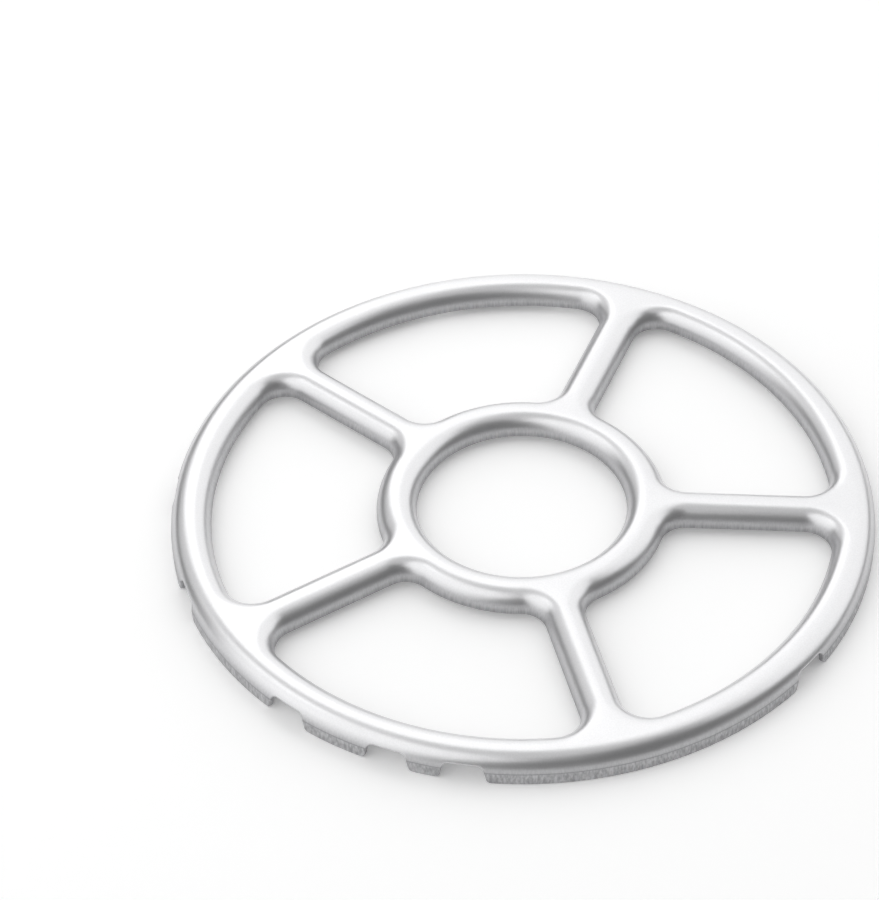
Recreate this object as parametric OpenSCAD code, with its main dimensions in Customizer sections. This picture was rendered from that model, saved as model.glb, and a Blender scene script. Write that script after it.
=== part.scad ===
// Stove grate: a flat reducer ring with spokes, made as one sheet-metal pressing. The rim, the hub ring and
// the spokes are one inverted channel with rolled shoulders. The skirt round the outside is notched, so
// that it drops over what it rests on and can't slide.
// The origin is the centre of the ring at the level of its feet. +X runs through the key notch.

/* [Ring] */
// Outside diameter of the rim
outer_d = 140; // [120:1:170]
// Height of the flat top above the feet
height = 5.8; // [5.6:0.1:9]
// Thickness of the sheet
sheet_t = 1.2; // [0.8:0.1:1.6]
// Radius of the rolled shoulders, on the outside of the sheet
shoulder_r = 3.6; // [2.8:0.1:3.7]
// Width of the rim
rim_w = 8; // [7.6:0.1:11]

/* [Hub and spokes] */
// Diameter of the open hole in the hub ring
hub_hole_d = 42; // [34:1:50]
// Width of the hub ring
hub_w = 8; // [7.6:0.1:11]
// Number of spokes
spoke_count = 5; // [3:1:6]
// Width of a spoke
spoke_w = 8; // [7.6:0.1:10]
// Height of the inner flanges' lower edge above the feet
flange_lift = 1.5; // [0.5:0.1:1.6]
// Corner radius of a window beside the rim
rim_corner_r = 5.4; // [3:0.1:8]
// Corner radius of a window beside the hub ring
hub_corner_r = 5; // [3:0.1:6]

/* [Notches] */
// Width of a notch at its top
notch_w = 7.4; // [6:0.1:9]
// Height of a notch above the feet
notch_h = 3.9; // [2.5:0.1:4.2]
// Lean of a notch's sides, in degrees, wider at the feet
notch_lean = 11; // [0:1:20]
// Radius of a notch's upper corners
notch_r = 1.3; // [0.5:0.1:1.5]
// Radius of the lower corners of the tabs between the notches
tab_r = 1; // [0.5:0.1:1.5]

/* [Hidden] */
$fn = 96;
// The notches are rings of this many, evenly spaced, and every ring starts at the key notch
notch_counts = [4, 5, 6];
// Directions closer together than this, in degrees, are one notch
same_notch = 1;
// Reach of the blocks that only trim, and how far a cut runs past what it cuts
reach = outer_d;
past = 1;
// A spoke laps this far into the rim and the hub ring, and lies this much inside their faces
lap = 0.3;
lap_step = 0.02;
// Straight pieces in a small round corner of a notch
arc_steps = 6;
// Parts of a millimetre that the long step of a place is rounded to
place_parts = 100;
rim_r = outer_d / 2;
rim_crest_r = rim_r - rim_w / 2;
rim_wall_r = rim_r - rim_w;
hub_hole_r = hub_hole_d / 2;
hub_crest_r = hub_hole_r + hub_w / 2;
hub_wall_r = hub_hole_r + hub_w;
spoke_step = 360 / spoke_count;
// Centre of a window's corner beside the rim, measured from the middle line of a spoke that lies on +X
rim_corner_y = spoke_w / 2 + rim_corner_r;
rim_corner_x = sqrt(pow(rim_wall_r - rim_corner_r, 2) - pow(rim_corner_y, 2));
rim_corner_a = atan2(rim_corner_y, rim_corner_x);
// Centre of a window's corner beside the hub ring
hub_corner_y = spoke_w / 2 + hub_corner_r;
hub_corner_x = sqrt(pow(hub_wall_r + hub_corner_r, 2) - pow(hub_corner_y, 2));
hub_corner_a = atan2(hub_corner_y, hub_corner_x);
// Directions of all notches, ring by ring, and then each only once
notch_all = [for (n = notch_counts) for (i = [0:n - 1]) i * 360 / n];
function is_new(i) = len([for (j = [0:1:i - 1]) if (abs(notch_all[j] - notch_all[i]) < same_notch) j]) == 0;
notch_angles = [for (i = [0:len(notch_all) - 1]) if (is_new(i)) notch_all[i]];

// Moves in a long step and a tiny one, so that a place with many digits is met exactly
module place(x, y) {
    long_step = [round(x * place_parts), round(y * place_parts), 0] / place_parts;
    translate(long_step)
        translate([x, y, 0] - long_step)
            children();
}

// Half section of the channel: an upright wall on x = 0, the rolled shoulder, and the flat top as far as run
module edge_section(foot, run) {
    translate([0, foot])
        square([sheet_t, height - shoulder_r - foot]);
    intersection() {
        translate([shoulder_r, height - shoulder_r])
            difference() {
                circle(r = shoulder_r);
                circle(r = shoulder_r - sheet_t);
            }
        translate([0, height - shoulder_r])
            square(shoulder_r);
    }
    translate([shoulder_r, height - sheet_t])
        square([run - shoulder_r, sheet_t]);
}

// Section of the whole channel, w wide, with its left and right walls down to their own heights
module channel_section(w, left_foot, right_foot) {
    flat_end = w - shoulder_r;
    edge_section(left_foot, flat_end);
    translate([w, 0])
        mirror([1, 0])
            edge_section(right_foot, flat_end);
}

// Everything on the far side of the upright plane at x
module beyond(x) {
    place(x, 0)
        translate([0, -reach, -reach])
            cube(2 * reach);
}

// Everything to the left of the line from the origin at angle a
module left_of(a) {
    rotate(a)
        translate([-reach, 0, -reach])
            cube(2 * reach);
}

// Wedge about +X between the angles -a and a
module wedge(a) {
    difference() {
        translate([0, -reach, -reach])
            cube(2 * reach);
        left_of(a);
        mirror([0, 1, 0])
            left_of(a);
    }
}

// Angle that the lap takes up at radius r
function lap_angle(r) = lap / r * 180 / PI;

module each_spoke() {
    for (i = [0:spoke_count - 1])
        rotate((i + 0.5) * spoke_step)
            children();
}

// Rim: the channel turned into a ring, notched, and opened on its inner side where a spoke joins it
module rim() {
    difference() {
        rotate_extrude()
            translate([rim_wall_r, 0])
                channel_section(rim_w, flange_lift, 0);
        notches();
        each_spoke()
            intersection() {
                wedge(rim_corner_a);
                cylinder(r = rim_crest_r, h = reach);
            }
    }
}

// Hub ring, opened on its outer side where a spoke joins it
module hub() {
    difference() {
        rotate_extrude()
            translate([hub_hole_r, 0])
                channel_section(hub_w, flange_lift, flange_lift);
        each_spoke()
            difference() {
                wedge(hub_corner_a);
                translate([0, 0, -past])
                    cylinder(r = hub_crest_r, h = reach);
            }
    }
}

// Straight channel of a spoke between the window corners
module spoke_channel() {
    w = spoke_w - 2 * lap_step;
    difference() {
        intersection() {
            rotate([90, 0, 90])
                linear_extrude(reach)
                    translate([-w / 2, 0])
                        channel_section(w, flange_lift, flange_lift);
            beyond(hub_corner_x);
        }
        beyond(rim_corner_x);
    }
}

// Edge of a window corner, turned about the corner's centre, with enough flat sheet round it
module corner_edge(r) {
    rotate_extrude()
        translate([r + lap_step, 0])
            edge_section(flange_lift, rim_w + spoke_w);
}

// Window corner beside the rim, with its share of the flat gusset
module rim_corner() {
    difference() {
        intersection() {
            place(rim_corner_x, rim_corner_y)
                corner_edge(rim_corner_r);
            beyond(rim_corner_x);
            translate([0, 0, -reach])
                cube(2 * reach);
            cylinder(r = rim_crest_r + lap, h = reach);
        }
        left_of(rim_corner_a + lap_angle(rim_wall_r));
    }
}

// Window corner beside the hub ring
module hub_corner() {
    difference() {
        intersection() {
            place(hub_corner_x, hub_corner_y)
                corner_edge(hub_corner_r);
            translate([0, 0, -reach])
                cube(2 * reach);
        }
        beyond(hub_corner_x);
        left_of(hub_corner_a + lap_angle(hub_wall_r));
        translate([0, 0, -past])
            cylinder(r = hub_crest_r - lap, h = reach);
    }
}

// A spoke on +X with its four window corners, lapped into the rim and the hub ring
module spoke() {
    translate([0, 0, -lap_step]) {
        spoke_channel();
        for (side = [0, 1])
            mirror([0, side, 0]) {
                rim_corner();
                hub_corner();
            }
    }
}

// Points of an arc about a centre, from angle a to angle b
function arc(centre, r, a, b) =
    [for (i = [0:arc_steps]) centre + r * [cos(a + (b - a) * i / arc_steps), sin(a + (b - a) * i / arc_steps)]];

// Outline of a notch, seen along the radius: leaning sides, round upper corners and round tab corners
module notch_outline() {
    slope = tan(notch_lean);
    upper = [notch_w / 2 + notch_r * slope - notch_r / cos(notch_lean), notch_h - notch_r];
    lower = [notch_w / 2 + (notch_h - tab_r) * slope + tab_r / cos(notch_lean), tab_r];
    right = concat(
        [[lower[0], -past]],
        arc(lower, tab_r, 270, 180 + notch_lean),
        arc(upper, notch_r, notch_lean, 90)
    );
    polygon(concat(right, [for (i = [len(right) - 1:-1:0]) [-right[i][0], right[i][1]]]));
}

// Cuts of all notches through the skirt alone
module notches() {
    for (a = notch_angles)
        rotate(a)
            translate([rim_crest_r, 0, 0])
                rotate([90, 0, 90])
                    linear_extrude(rim_w)
                        notch_outline();
}

module grate() {
    color("silver") {
        rim();
        hub();
        each_spoke()
            spoke();
    }
}

grate();
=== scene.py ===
import math

import bmesh
import bpy
import numpy as np
from mathutils import Matrix, Vector


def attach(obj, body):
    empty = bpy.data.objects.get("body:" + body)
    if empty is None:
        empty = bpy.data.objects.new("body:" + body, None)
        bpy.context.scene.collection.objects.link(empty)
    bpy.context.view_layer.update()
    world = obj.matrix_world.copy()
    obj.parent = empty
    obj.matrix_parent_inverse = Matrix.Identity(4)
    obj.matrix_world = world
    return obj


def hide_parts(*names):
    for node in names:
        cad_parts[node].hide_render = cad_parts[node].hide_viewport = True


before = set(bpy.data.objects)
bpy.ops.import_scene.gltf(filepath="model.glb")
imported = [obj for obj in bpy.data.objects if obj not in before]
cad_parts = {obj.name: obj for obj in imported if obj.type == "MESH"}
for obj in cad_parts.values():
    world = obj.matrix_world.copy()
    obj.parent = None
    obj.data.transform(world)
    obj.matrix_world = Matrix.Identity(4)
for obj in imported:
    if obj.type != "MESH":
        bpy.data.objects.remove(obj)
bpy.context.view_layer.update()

# Grate, the whole object: one blank of thin steel sheet, pressed into an inverted channel with rolled
# shoulders. Rim, hub ring and spokes are the same channel. The windows and the hub hole were pierced and
# their edges turned down, and the skirt was notched, so that the grate can't slide on what it rests on.
MM = 0.001
rim_r = 70.0 * MM
top_z = 5.8 * MM
sheet_t = 1.2 * MM
shoulder_r = 3.6 * MM
rim_w = 8.0 * MM
hub_w = 8.0 * MM
spoke_w = 8.0 * MM
hub_hole_r = 21.0 * MM
flange_foot = 1.5 * MM
rim_corner_r = 5.4 * MM
hub_corner_r = 5.0 * MM
spoke_count = 5
# The sheared edges are rounded by this much, and a row of the mesh stands this far beyond the rounding
edge_r = 0.3 * MM
edge_hold = 0.12 * MM
# Distance between the columns of the mesh along a ring, along a spoke and round a window's corner
column_step = 0.55 * MM
spoke_step = 1.65 * MM
corner_step = math.radians(3.6)
# Rows of the mesh over a shoulder, outside and inside, and over a rounded edge
outer_rows = 13
inner_rows = 9
edge_rows = 4
# Points closer together than this are the same point, and angles are compared to so many digits
same_point = 1e-7
angle_digits = 9

rim_wall_r = rim_r - rim_w
rim_crest_r = rim_r - rim_w / 2
hub_wall_r = hub_hole_r + hub_w
hub_crest_r = hub_hole_r + hub_w / 2
shoulder_z = top_z - shoulder_r
inner_r = shoulder_r - sheet_t
half_sector = math.pi / spoke_count
right_angle = math.pi / 2
edge_turn = np.linspace(0, right_angle, edge_rows)


def spread(start, end, step):
    """Evenly spaced values from start to end, about one step apart."""
    return np.linspace(start, end, max(1, round(abs(end - start) / step)) + 1)


def polar(r, a):
    """Points at radius r in the directions a."""
    return np.stack([r * np.cos(a), r * np.sin(a)], axis=-1)


def add_strip(mesh, rows, closed=False):
    """Adds a grid of quads over rows of points. Where it is closed, the last column meets the first."""
    verts = [[mesh.verts.new(p) for p in row] for row in rows]
    columns = len(verts[0])
    for a, b in zip(verts[:-1], verts[1:]):
        for i in range(columns if closed else columns - 1):
            j = (i + 1) % columns
            mesh.faces.new((a[i], a[j], b[j], b[i]))


def edge_profile():
    """Section of a turned-down edge, from the flat top to its underside: reach into the sheet, and height."""
    outer = [(shoulder_r - shoulder_r * math.cos(a), shoulder_z + shoulder_r * math.sin(a))
             for a in np.linspace(right_angle, 0, outer_rows)]
    inner = [(shoulder_r - inner_r * math.cos(a), shoulder_z + inner_r * math.sin(a))
             for a in np.linspace(0, right_angle, inner_rows)]
    near = [(edge_r - edge_r * math.cos(a), flange_foot + edge_r - edge_r * math.sin(a)) for a in edge_turn]
    near.insert(0, (0.0, flange_foot + edge_r + edge_hold))
    near.append((edge_r + edge_hold, flange_foot))
    return outer + near + [(sheet_t - x, z) for x, z in reversed(near)] + inner


def edge_strip(wall, into, crest):
    """Rows of points over an edge that follows an outline, from its crest on top to the crest underneath."""
    rows = [np.column_stack([crest, np.full(len(crest), top_z)])]
    for reach, z in edge_profile():
        rows.append(np.column_stack([wall + into * reach, np.full(len(wall), z)]))
    rows.append(np.column_stack([crest, np.full(len(crest), top_z - sheet_t)]))
    return np.array(rows)


def corner_columns(centre, r, turn, split, ring_r, ring_first):
    """Columns round a window's corner: each ends on the ring's crest or on the spoke's middle line."""
    a = np.concatenate([spread(turn[0], split, corner_step), spread(split, turn[1], corner_step)[1:]])
    d = polar(1.0, a)
    along = d @ centre
    root = np.sqrt(np.maximum(along**2 - centre @ centre + ring_r**2, 0.0))
    to_ring = root - along if ring_first else -along - root
    to_middle = centre[1] / np.maximum(-d[:, 1], same_point)
    reach = np.where((a > split) == ring_first, to_ring, to_middle)
    return centre + r * d, d, centre + reach[:, None] * d


def window_columns():
    """Half a window's outline beside a spoke on +X: points on the wall, directions into the sheet, crests."""
    y = spoke_w / 2 + rim_corner_r
    rim_corner = np.array([math.sqrt((rim_wall_r - rim_corner_r) ** 2 - y**2), y])
    rim_a = math.atan2(rim_corner[1], rim_corner[0])
    y = spoke_w / 2 + hub_corner_r
    hub_corner = np.array([math.sqrt((hub_wall_r + hub_corner_r) ** 2 - y**2), y])
    hub_a = math.atan2(hub_corner[1], hub_corner[0])
    rim_split = math.atan2(-rim_corner[1], rim_crest_r - rim_corner[0])
    hub_split = math.atan2(-hub_corner[1], hub_crest_r - hub_corner[0])
    down = -right_angle
    rim_arc = spread(half_sector, rim_a, column_step / rim_wall_r)
    hub_arc = spread(hub_a, half_sector, column_step / hub_wall_r)
    x = spread(rim_corner[0], hub_corner[0], spoke_step)
    side = np.column_stack([x, np.full(len(x), spoke_w / 2)])
    parts = [
        (polar(rim_wall_r, rim_arc), polar(1.0, rim_arc), polar(rim_crest_r, rim_arc)),
        corner_columns(rim_corner, rim_corner_r, (rim_a, down), rim_split, rim_crest_r, True),
        (side, np.tile([0.0, -1.0], (len(x), 1)), side * [1.0, 0.0]),
        corner_columns(hub_corner, hub_corner_r, (down, hub_a - math.pi), hub_split, hub_crest_r, False),
        (polar(hub_wall_r, hub_arc), -polar(1.0, hub_arc), polar(hub_crest_r, hub_arc)),
    ]
    return [np.concatenate([p[i] if n == 0 else p[i][1:] for n, p in enumerate(parts)]) for i in range(3)]


def crest_angles(crest, r):
    """Angles of the crest points that lie on the ring of radius r, in order and each only once."""
    on_ring = np.abs(np.hypot(crest[:, 0], crest[:, 1]) - r) < same_point
    return np.unique(np.round(np.arctan2(crest[on_ring, 1], crest[on_ring, 0]), angle_digits))


# Sector, one fifth of the grate inside the rim's crest: a spoke on +X with half a window on either side of
# it, and its share of the hub ring. It is the same steel sheet throughout, and only a part of the mesh.
sector = bmesh.new()
wall, into, crest = window_columns()
hub_a = crest_angles(crest, hub_crest_r)
for side in (1.0, -1.0):
    flip = np.array([1.0, side])
    add_strip(sector, edge_strip(wall * flip, into * flip, crest * flip))
    add_strip(sector, edge_strip(polar(hub_hole_r, hub_a) * flip, polar(1.0, hub_a) * flip,
                                 polar(hub_crest_r, hub_a) * flip))
sector_mesh = bpy.data.meshes.new("sector")
sector.to_mesh(sector_mesh)
sector.free()
sector_piece = bpy.data.objects.new("sector", sector_mesh)
bpy.context.scene.collection.objects.link(sector_piece)

# Skirt with its notches. They are three rings of four, five and six evenly spaced notches, all counted from
# the key notch on +X. Each was punched from outside, with leaning sides and round corners.
notch_counts = (4, 5, 6)
notch_w = 7.4 * MM
notch_h = 3.9 * MM
notch_lean = math.radians(11)
notch_r = 1.3 * MM
tab_r = 1.0 * MM
notch_step = math.radians(13)
# Rows of the mesh on the skirt, down its shoulder and then down its wall, outside and inside
outside_rows = (9, 8)
inside_rows = (5, 7)
# Share of a notch's straight side between two columns of the mesh
side_share = 0.2
# The level rows of the mesh end this far above the notches' rounded edges
level_gap = 0.36 * MM
rim_turn_r = rim_r - shoulder_r


def notch_half():
    """Half a notch, from the middle of its top to the tab's foot: points, and directions into the sheet."""
    slope = math.tan(notch_lean)
    upper = np.array([notch_w / 2 + notch_r * slope - notch_r / math.cos(notch_lean), notch_h - notch_r])
    lower = np.array([notch_w / 2 + (notch_h - tab_r) * slope + tab_r / math.cos(notch_lean), tab_r])
    x = spread(0.0, upper[0], column_step)
    top = np.column_stack([x, np.full(len(x), notch_h)])
    turn = spread(right_angle, notch_lean, notch_step)
    foot = spread(math.pi + notch_lean, 3 * right_angle, notch_step)
    upper_arc = upper + polar(notch_r, turn)
    lower_arc = lower + polar(tab_r, foot)
    share = spread(0.0, 1.0, side_share)[1:-1, None]
    side = upper_arc[-1] * (1 - share) + lower_arc[0] * share
    points = np.concatenate([top[:-1], upper_arc, side, lower_arc])
    directions = np.concatenate([
        np.tile([0.0, 1.0], (len(top) - 1, 1)),
        polar(1.0, turn),
        np.tile([math.cos(notch_lean), math.sin(notch_lean)], (len(side), 1)),
        -polar(1.0, foot),
    ])
    return points, directions


def skirt_outline():
    """The skirt's whole lower edge, unrolled: distance round the rim and height, and directions inwards."""
    points, directions = notch_half()
    mirror = np.array([-1.0, 1.0])
    points = np.concatenate([points[:0:-1] * mirror, points])
    directions = np.concatenate([directions[:0:-1] * mirror, directions])
    angles = sorted({round(360.0 * i / n, angle_digits) for n in notch_counts for i in range(n)})
    places = [math.radians(a) * rim_r for a in angles]
    outline, inward = [], []
    for here, after in zip(places, places[1:] + [math.tau * rim_r]):
        outline.append(points + [here, 0.0])
        inward.append(directions)
        x = spread(here + points[-1, 0], after - points[-1, 0], column_step)[1:-1]
        outline.append(np.column_stack([x, np.zeros(len(x))]))
        inward.append(np.tile([0.0, 1.0], (len(x), 1)))
    return np.concatenate(outline), np.concatenate(inward)


def on_shoulder(r, z):
    """Distance out from the shoulder's centre at height z, for a face of radius r."""
    return np.sqrt(r**2 - np.maximum(z - shoulder_z, 0.0) ** 2)


def ring_row(around, out, z):
    """Points at distance around along the rim, out from the shoulder's centre, and at height z."""
    points = polar(rim_turn_r + out, around / rim_r)
    return np.column_stack([points, np.broadcast_to(z, len(points))])


def skirt_rows():
    """Rows of points from the rim's crest down outside the skirt, round its lower edge and up inside it."""
    edge, inward = skirt_outline()
    around = edge[:, 0]
    split_z = notch_h + edge_r + level_gap
    held = edge + inward * (edge_r + edge_hold)

    def upper(r, count):
        """Level rows from the crest down the shoulder, as far as the notches leave it whole."""
        rows = []
        for bend in np.linspace(right_angle, math.asin((split_z - shoulder_z) / r), count):
            out = np.full(len(around), r * math.cos(bend))
            rows.append(ring_row(around, out, shoulder_z + r * math.sin(bend)))
        return rows

    def lower(r, count):
        """Rows that go over from level ones to the notched edge, evenly spaced along the section."""
        def length(z):
            bend = np.arcsin(np.clip((z - shoulder_z) / r, 0.0, 1.0))
            return r * (right_angle - bend) + np.maximum(shoulder_z - z, 0.0)
        rows = []
        start, end = length(split_z), length(held[:, 1])
        for share in np.linspace(0, 1, count)[1:]:
            s = start + share * (end - start)
            bend = right_angle - np.minimum(s / r, right_angle)
            z = shoulder_z + r * np.sin(bend) - np.maximum(s - r * right_angle, 0.0)
            rows.append(ring_row(around + share * (held[:, 0] - around), r * np.cos(bend), z))
        return rows

    def rounded(r, sign):
        """Rows over half of the rounded edge, on the face of radius r."""
        rows = []
        for a in edge_turn:
            p = edge + inward * edge_r * (1 - math.sin(a))
            out = on_shoulder(r, p[:, 1]) - sign * edge_r * (1 - math.cos(a))
            rows.append(ring_row(p[:, 0], out, p[:, 1]))
        out = on_shoulder(r, edge[:, 1]) - sign * (edge_r + edge_hold)
        rows.append(ring_row(around, out, edge[:, 1]))
        return rows

    outside = upper(shoulder_r, outside_rows[0]) + lower(shoulder_r, outside_rows[1]) + rounded(shoulder_r, 1)
    inside = upper(inner_r, inside_rows[0]) + lower(inner_r, inside_rows[1]) + rounded(inner_r, -1)
    return np.array(outside + inside[::-1])


def zipper(mesh, z, inner_a, inner_ring_r, outer_a, outer_ring_r):
    """Flat band of triangles between two rings whose points don't stand at the same angles."""
    a = [mesh.verts.new((*polar(inner_ring_r, t), z)) for t in inner_a]
    b = [mesh.verts.new((*polar(outer_ring_r, t), z)) for t in outer_a]
    i = j = 0
    while i < len(a) or j < len(b):
        next_a = inner_a[i + 1] if i + 1 < len(a) else inner_a[0] + math.tau
        next_b = outer_a[j + 1] if j + 1 < len(b) else outer_a[0] + math.tau
        if j == len(b) or (i < len(a) and next_a <= next_b):
            mesh.faces.new((a[i], b[j % len(b)], a[(i + 1) % len(a)]))
            i += 1
        else:
            mesh.faces.new((a[i % len(a)], b[j], b[(j + 1) % len(b)]))
            j += 1


rim = bmesh.new()
rows = skirt_rows()
add_strip(rim, rows, closed=True)
turn_a = np.unwrap(np.arctan2(rows[0][:, 1], rows[0][:, 0]))
half_a = crest_angles(crest, rim_crest_r)
spoke_a = np.unique(np.round(np.concatenate([-half_a, half_a]), angle_digits))
crest_a = np.concatenate([spoke_a[:-1] + (i + 0.5) * 2 * half_sector for i in range(spoke_count)])
crest_a = np.sort(np.mod(crest_a, math.tau))
first = np.argmax(crest_a > turn_a[0])
crest_a = np.concatenate([crest_a[first:], crest_a[:first] + math.tau])
for z in (top_z, top_z - sheet_t):
    zipper(rim, z, crest_a, rim_crest_r, turn_a, rim_turn_r)
rim_mesh = bpy.data.meshes.new("rim")
rim.to_mesh(rim_mesh)
rim.free()
rim_piece = bpy.data.objects.new("rim", rim_mesh)
bpy.context.scene.collection.objects.link(rim_piece)

# The whole sheet. The five sectors are set round the axis and welded to the rim and to each other, because
# the real grate is pressed from one blank of steel and has no joint anywhere.
weld_gap = 0.5e-6


def sector_tree():
    """Geometry nodes that repeat a sector round +Z, add the rim, and weld them into one closed sheet."""
    tree = bpy.data.node_groups.new("grate_sectors", "GeometryNodeTree")
    face = tree.interface
    face.new_socket("Sector", in_out="INPUT", socket_type="NodeSocketGeometry")
    face.new_socket("Spokes", in_out="INPUT", socket_type="NodeSocketInt")
    face.new_socket("Rim", in_out="INPUT", socket_type="NodeSocketObject")
    face.new_socket("Weld", in_out="INPUT", socket_type="NodeSocketFloat")
    face.new_socket("Finish", in_out="INPUT", socket_type="NodeSocketMaterial")
    face.new_socket("Grate", in_out="OUTPUT", socket_type="NodeSocketGeometry")
    nodes, links = tree.nodes, tree.links
    given = nodes.new("NodeGroupInput")
    points = nodes.new("GeometryNodePoints")
    links.new(given.outputs["Spokes"], points.inputs["Count"])
    index = nodes.new("GeometryNodeInputIndex")
    middle = nodes.new("ShaderNodeMath")
    middle.operation = "ADD"
    middle.inputs[1].default_value = 0.5
    links.new(index.outputs[0], middle.inputs[0])
    share = nodes.new("ShaderNodeMath")
    share.operation = "DIVIDE"
    links.new(middle.outputs[0], share.inputs[0])
    links.new(given.outputs["Spokes"], share.inputs[1])
    angle = nodes.new("ShaderNodeMath")
    angle.operation = "MULTIPLY"
    angle.inputs[1].default_value = math.tau
    links.new(share.outputs[0], angle.inputs[0])
    turn = nodes.new("ShaderNodeCombineXYZ")
    links.new(angle.outputs[0], turn.inputs["Z"])
    copies = nodes.new("GeometryNodeInstanceOnPoints")
    links.new(points.outputs[0], copies.inputs["Points"])
    links.new(given.outputs["Sector"], copies.inputs["Instance"])
    links.new(turn.outputs[0], copies.inputs["Rotation"])
    around = nodes.new("GeometryNodeObjectInfo")
    links.new(given.outputs["Rim"], around.inputs["Object"])
    both = nodes.new("GeometryNodeJoinGeometry")
    links.new(copies.outputs[0], both.inputs[0])
    links.new(around.outputs["Geometry"], both.inputs[0])
    real = nodes.new("GeometryNodeRealizeInstances")
    links.new(both.outputs[0], real.inputs[0])
    weld = nodes.new("GeometryNodeMergeByDistance")
    links.new(real.outputs[0], weld.inputs["Geometry"])
    links.new(given.outputs["Weld"], weld.inputs["Distance"])
    smooth = nodes.new("GeometryNodeSetShadeSmooth")
    links.new(weld.outputs[0], smooth.inputs["Geometry"])
    finish = nodes.new("GeometryNodeSetMaterial")
    links.new(smooth.outputs[0], finish.inputs["Geometry"])
    links.new(given.outputs["Finish"], finish.inputs["Material"])
    result = nodes.new("NodeGroupOutput")
    links.new(finish.outputs[0], result.inputs[0])
    return tree


steel = bpy.data.materials.new("satin_steel_sheet")
pressing = sector_piece.modifiers.new("pressing", "NODES")
pressing.node_group = sector_tree()
settings = {"Spokes": spoke_count, "Rim": rim_piece, "Weld": weld_gap, "Finish": steel}
for item in pressing.node_group.interface.items_tree:
    if item.in_out == "INPUT" and item.name in settings:
        pressing[item.identifier] = settings[item.name]
bpy.context.view_layer.update()
made = sector_piece.evaluated_get(bpy.context.evaluated_depsgraph_get())
grate_mesh = bpy.data.meshes.new_from_object(made)
sector_piece.modifiers.remove(pressing)
for spare in (sector_piece, rim_piece):
    bpy.data.objects.remove(spare)
whole = bmesh.new()
whole.from_mesh(grate_mesh)
bmesh.ops.recalc_face_normals(whole, faces=whole.faces)
whole.to_mesh(grate_mesh)
whole.free()
grate = bpy.data.objects.new("grate_sheet", grate_mesh)
bpy.context.scene.collection.objects.link(grate)

# Finish of the steel, bare and unpainted: satin on the flats and shoulders, where it was tumbled, duller down
# the walls that the die drew, with fine upright marks from the tool, and darker there by painted shade. Round
# the skirt the die has left galls on the sheet, and the skirt is darker there by painted shade too. A faint
# groove shows where the galling begins, and its dark line is painted shade.
steel_colour = (0.78, 0.78, 0.79, 1)
# The second colour is that of the steel's grain and tool marks, and of the painted shade that darkens the
# walls and skirt
grain_and_painted_shade_colour = (0.34, 0.34, 0.35, 1)
grain_size = 0.28 * MM
mark_size = 0.30 * MM
mark_length = 4.0 * MM
gall_size = 0.46 * MM
gall_length = 1.3 * MM
patch_size = 14.0 * MM
# The galling reaches up to this height, and fades out over a short way
gall_top_z = 2.75 * MM
gall_fade = 0.2 * MM
# Width of the line where the galling begins: a shallow bump groove, darkened with painted shade
gall_line_w = 0.16 * MM
# Radii over which the skirt's own finish and painted shade set in, and heights over which those of the walls
# do
skirt_fade = (rim_r - 0.8 * MM, rim_r - 0.5 * MM)
wall_and_painted_shade_fade = (top_z - 0.25 * shoulder_r, shoulder_z)
# Parts of a noise's range that are spread over the shades, and over the roughness
grain_span = (0.35, 0.65)
gall_span = (0.36, 0.64)
rough_span = (0.3, 0.7)
whole_span = (0.0, 1.0)
# Shades, from 0 for the steel's own colour to 1 for the darkest painted shade. The satin's are grain, the
# walls' and the galls' are painted shade with the marks' own tone, and the line's is painted shade
satin_shade = (0.0, 0.10)
wall_marks_and_painted_shade = (0.78, 1.0)
gall_marks_and_painted_shade = (0.46, 0.88)
gall_line_painted_shade = (0.0, 0.5)
# Roughness, and heights of the marks as parts of the bump's depth
satin_rough = (0.30, 0.35)
wall_rough = (0.48, 0.56)
gall_rough = (0.50, 0.62)
satin_height = (0.0, 0.35)
wall_height = (0.0, 0.8)
gall_height = (0.0, 1.2)
bump_strength = 0.4
bump_depth = 0.03 * MM
noise_detail = 3.0


class FinishNodes:
    """Builds nodes in one material, all of them read in the grate's own coordinates."""

    def __init__(self, material):
        material.use_nodes = True
        self.nodes = material.node_tree.nodes
        self.links = material.node_tree.links
        self.place = self.nodes.new("ShaderNodeTexCoord").outputs["Object"]

    def noise(self, size, length=None):
        """A noise with patches of the size given, stretched out to a length along Z."""
        placed = self.nodes.new("ShaderNodeMapping")
        placed.inputs["Scale"].default_value = (1 / size, 1 / size, 1 / (length or size))
        self.links.new(self.place, placed.inputs["Vector"])
        noise = self.nodes.new("ShaderNodeTexNoise")
        noise.inputs["Scale"].default_value = 1.0
        noise.inputs["Detail"].default_value = noise_detail
        self.links.new(placed.outputs[0], noise.inputs["Vector"])
        return noise.outputs["Fac"]

    def ranged(self, value, given, wanted):
        """A value carried from one range to another, and kept inside it."""
        node = self.nodes.new("ShaderNodeMapRange")
        for name, number in zip(("From Min", "From Max", "To Min", "To Max"), given + wanted):
            node.inputs[name].default_value = number
        self.links.new(value, node.inputs["Value"])
        return node.outputs[0]

    def blend(self, share, a, b):
        """The value a where the share is 0, and b where it is 1."""
        node = self.nodes.new("ShaderNodeMix")
        for name, value in (("Factor", share), ("A", a), ("B", b)):
            self.links.new(value, node.inputs[name])
        return node.outputs["Result"]

    def reckon(self, operation, a, b):
        """The result of an operation on two values, or on a value and a number."""
        node = self.nodes.new("ShaderNodeMath")
        node.operation = operation
        self.links.new(a, node.inputs[0])
        if isinstance(b, float):
            node.inputs[1].default_value = b
        else:
            self.links.new(b, node.inputs[1])
        return node.outputs[0]


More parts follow.
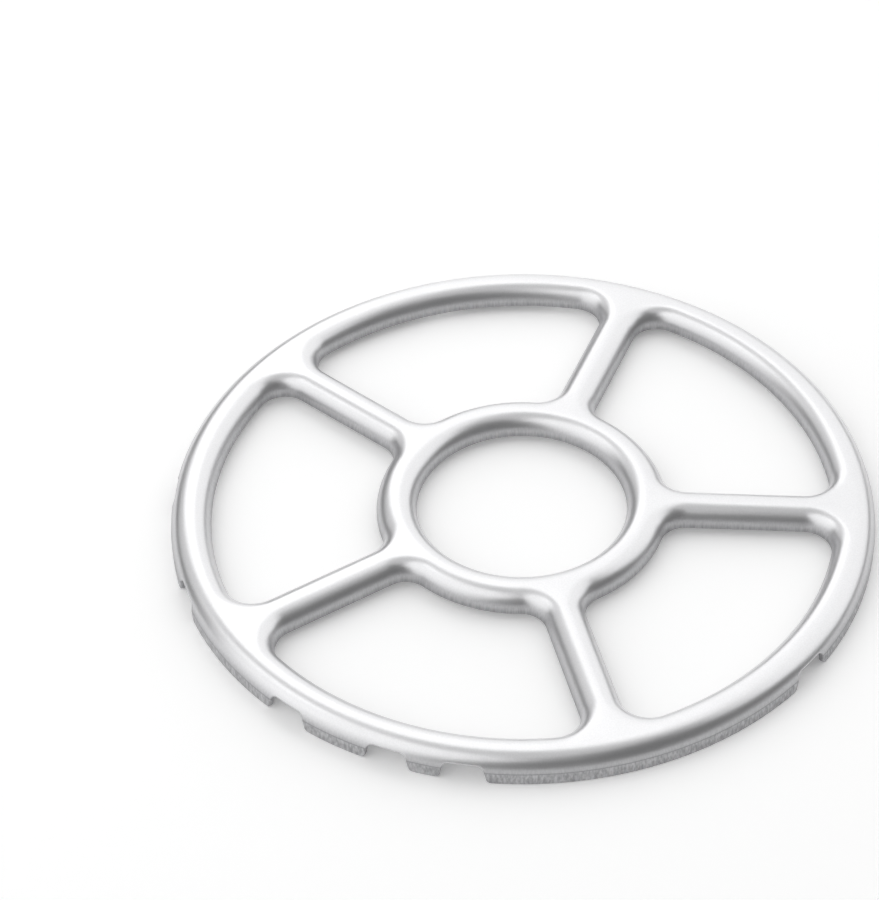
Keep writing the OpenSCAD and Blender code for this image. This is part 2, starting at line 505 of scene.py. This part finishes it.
def finish_steel_with_painted_shade(material):
    """The bare steel: how it is finished by place, its colour, roughness and grain, and its painted shade."""
    build = FinishNodes(material)
    shader = build.nodes["Principled BSDF"]
    shader.inputs["Metallic"].default_value = 1.0
    split = build.nodes.new("ShaderNodeSeparateXYZ")
    build.links.new(build.place, split.inputs[0])
    z = split.outputs["Z"]
    squares = [build.reckon("POWER", split.outputs[axis], 2.0) for axis in ("X", "Y")]
    out = build.reckon("SQRT", build.reckon("ADD", *squares), 0.0)
    skirt = build.ranged(out, skirt_fade, whole_span)
    # Walls below the shoulders: tool marks, duller roughness, and painted shade that darkens them
    wall_and_painted_shade = build.ranged(z, wall_and_painted_shade_fade, whole_span)
    # The skirt's galls, and the painted shade that darkens the skirt, up to where the galling begins
    gall_and_painted_shade = build.ranged(z, (gall_top_z, gall_top_z - gall_fade), whole_span)
    gall_and_painted_shade = build.reckon("MULTIPLY", skirt, gall_and_painted_shade)
    from_line = build.reckon("ABSOLUTE", build.reckon("SUBTRACT", z, gall_top_z), 0.0)
    line = build.ranged(from_line, (0.0, gall_line_w), (1.0, 0.0))
    line = build.reckon("MULTIPLY", line, skirt)
    grain = build.noise(grain_size)
    patches = build.noise(patch_size)
    marks = build.noise(mark_size, mark_length)
    galls = build.noise(gall_size, gall_length)

    def by_finish(satin, wall, gall):
        """One value for the satin flats, one for the walls with their painted shade and one for the skirt's
        galls.
        """
        return build.blend(gall_and_painted_shade, build.blend(wall_and_painted_shade, satin, wall), gall)

    # Shade: grain on the flats, and painted shade with the marks' own tone down the walls and on the skirt
    shade = by_finish(build.ranged(grain, grain_span, satin_shade),
                      build.ranged(marks, grain_span, wall_marks_and_painted_shade),
                      build.ranged(galls, gall_span, gall_marks_and_painted_shade))
    colour = build.nodes.new("ShaderNodeMix")
    colour.data_type = "RGBA"
    colour.inputs["A"].default_value = steel_colour
    colour.inputs["B"].default_value = grain_and_painted_shade_colour
    # Painted shade: a dark line where the galling begins, laid over the groove that the bump makes
    shade = build.reckon("ADD", shade, build.ranged(line, whole_span, gall_line_painted_shade))
    build.links.new(shade, colour.inputs["Factor"])
    build.links.new(colour.outputs["Result"], shader.inputs["Base Color"])
    rough = by_finish(build.ranged(patches, rough_span, satin_rough),
                      build.ranged(marks, rough_span, wall_rough),
                      build.ranged(galls, rough_span, gall_rough))
    build.links.new(rough, shader.inputs["Roughness"])
    height = by_finish(build.ranged(grain, whole_span, satin_height),
                       build.ranged(marks, whole_span, wall_height),
                       build.ranged(galls, rough_span, gall_height))
    bump = build.nodes.new("ShaderNodeBump")
    bump.inputs["Strength"].default_value = bump_strength
    bump.inputs["Distance"].default_value = bump_depth
    build.links.new(build.reckon("SUBTRACT", height, line), bump.inputs["Height"])
    build.links.new(bump.outputs[0], shader.inputs["Normal"])


finish_steel_with_painted_shade(steel)
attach(grate, "root")
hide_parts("grate")

# Studio floor, one wide sheet of pale matt paper that the grate stands on. It shows a little paler than the
# lamps make it, to the camera and in the steel alike.
floor_half = 3.0
floor_colour = (0.97, 0.97, 0.97, 1)
floor_rough = 0.6
floor_glow = 0.17
floor_mesh = bpy.data.meshes.new("floor")
floor_corners = [(x * floor_half, y * floor_half, 0) for x, y in ((-1, -1), (1, -1), (1, 1), (-1, 1))]
floor_mesh.from_pydata(floor_corners, [], [(0, 1, 2, 3)])
floor = bpy.data.objects.new("floor", floor_mesh)
bpy.context.scene.collection.objects.link(floor)
floor_paper = bpy.data.materials.new("floor_paper")
floor_paper.use_nodes = True
floor_nodes = floor_paper.node_tree.nodes
floor_links = floor_paper.node_tree.links
floor_shader = floor_nodes["Principled BSDF"]
floor_shader.inputs["Base Color"].default_value = floor_colour
floor_shader.inputs["Roughness"].default_value = floor_rough
ray = floor_nodes.new("ShaderNodeLightPath")
seen = None
for kind in ("Is Camera Ray", "Is Glossy Ray", "Is Transmission Ray"):
    part = floor_nodes.new("ShaderNodeMath")
    part.operation = "MULTIPLY_ADD"
    part.inputs[1].default_value = floor_glow
    part.inputs[2].default_value = 0.0
    floor_links.new(ray.outputs[kind], part.inputs[0])
    if seen:
        floor_links.new(seen, part.inputs[2])
    seen = part.outputs[0]
glow = floor_nodes.new("ShaderNodeEmission")
floor_links.new(seen, glow.inputs["Strength"])
paper = floor_nodes.new("ShaderNodeAddShader")
floor_links.new(floor_shader.outputs[0], paper.inputs[0])
floor_links.new(glow.outputs[0], paper.inputs[1])
floor_links.new(paper.outputs[0], floor_nodes["Material Output"].inputs["Surface"])
floor_mesh.materials.append(floor_paper)

# Camera, where the photograph was taken from: its place seen from the grate's centre, and how it is turned
# away from that centre, which lies to the right of the middle of the picture and below it.
camera_distance = 562.7 * MM
camera_azimuth = math.radians(-50.92)
camera_elevation = math.radians(44.85)
camera_roll = math.radians(-0.252)
camera_tilt = math.radians(1.304)
camera_pan = math.radians(1.679)
camera_sensor = 36.0
camera_lens = 112.31
camera_data = bpy.data.cameras.new("camera")
camera_data.sensor_fit = "VERTICAL"
camera_data.sensor_height = camera_sensor
camera_data.lens = camera_lens
camera = bpy.data.objects.new("camera", camera_data)
bpy.context.scene.collection.objects.link(camera)
towards = Vector((math.cos(camera_azimuth) * math.cos(camera_elevation),
                  math.sin(camera_azimuth) * math.cos(camera_elevation),
                  math.sin(camera_elevation)))
camera.matrix_world = (
    Matrix.Translation(towards * camera_distance)
    @ Matrix.Rotation(camera_azimuth + math.pi / 2, 4, "Z")
    @ Matrix.Rotation(math.pi / 2 - camera_elevation, 4, "X")
    @ Matrix.Rotation(camera_roll, 4, "Z")
    @ Matrix.Rotation(camera_tilt, 4, "X")
    @ Matrix.Rotation(camera_pan, 4, "Y")
)
bpy.context.scene.camera = camera


# Light: a wide soft box high behind the grate, one on its left, two dim ones behind and overhead, and a dim
# room all round. Every box stands at the same distance and faces the grate.
box_distance = 1.0
room_colour = (1, 1, 1, 1)
room_strength = 0.18


def soft_box(name, azimuth, elevation, width, height, radiance, lean=0):
    """An area light. Its azimuth counts from the camera's heading, and its lean turns it in its own plane."""
    data = bpy.data.lights.new(name, "AREA")
    data.shape = "RECTANGLE"
    data.size = width
    data.size_y = height
    data.energy = radiance * math.pi * width * height
    box = bpy.data.objects.new(name, data)
    bpy.context.scene.collection.objects.link(box)
    heading = camera_azimuth + math.radians(azimuth)
    lift = math.radians(elevation)
    at = Vector((math.cos(heading) * math.cos(lift), math.sin(heading) * math.cos(lift), math.sin(lift)))
    box.matrix_world = (
        Matrix.Translation(at * box_distance)
        @ Matrix.Rotation(heading + right_angle, 4, "Z")
        @ Matrix.Rotation(right_angle - lift, 4, "X")
        @ Matrix.Rotation(math.radians(lean), 4, "Z")
    )


soft_box("back_box", azimuth=148, elevation=40, width=2.4, height=1.2, radiance=0.98, lean=-12)
soft_box("left_box", azimuth=-61, elevation=37, width=1.4, height=1.5, radiance=1.03)
soft_box("fill_box", azimuth=-141, elevation=44, width=1.0, height=1.03, radiance=0.52)
soft_box("top_box", azimuth=0, elevation=89, width=0.68, height=0.8, radiance=0.43)
room = bpy.data.worlds.new("room")
room.use_nodes = True
room_air = room.node_tree.nodes["Background"]
room_air.inputs["Color"].default_value = room_colour
room_air.inputs["Strength"].default_value = room_strength
bpy.context.scene.world = room
bpy.context.scene.view_settings.view_transform = "Standard"
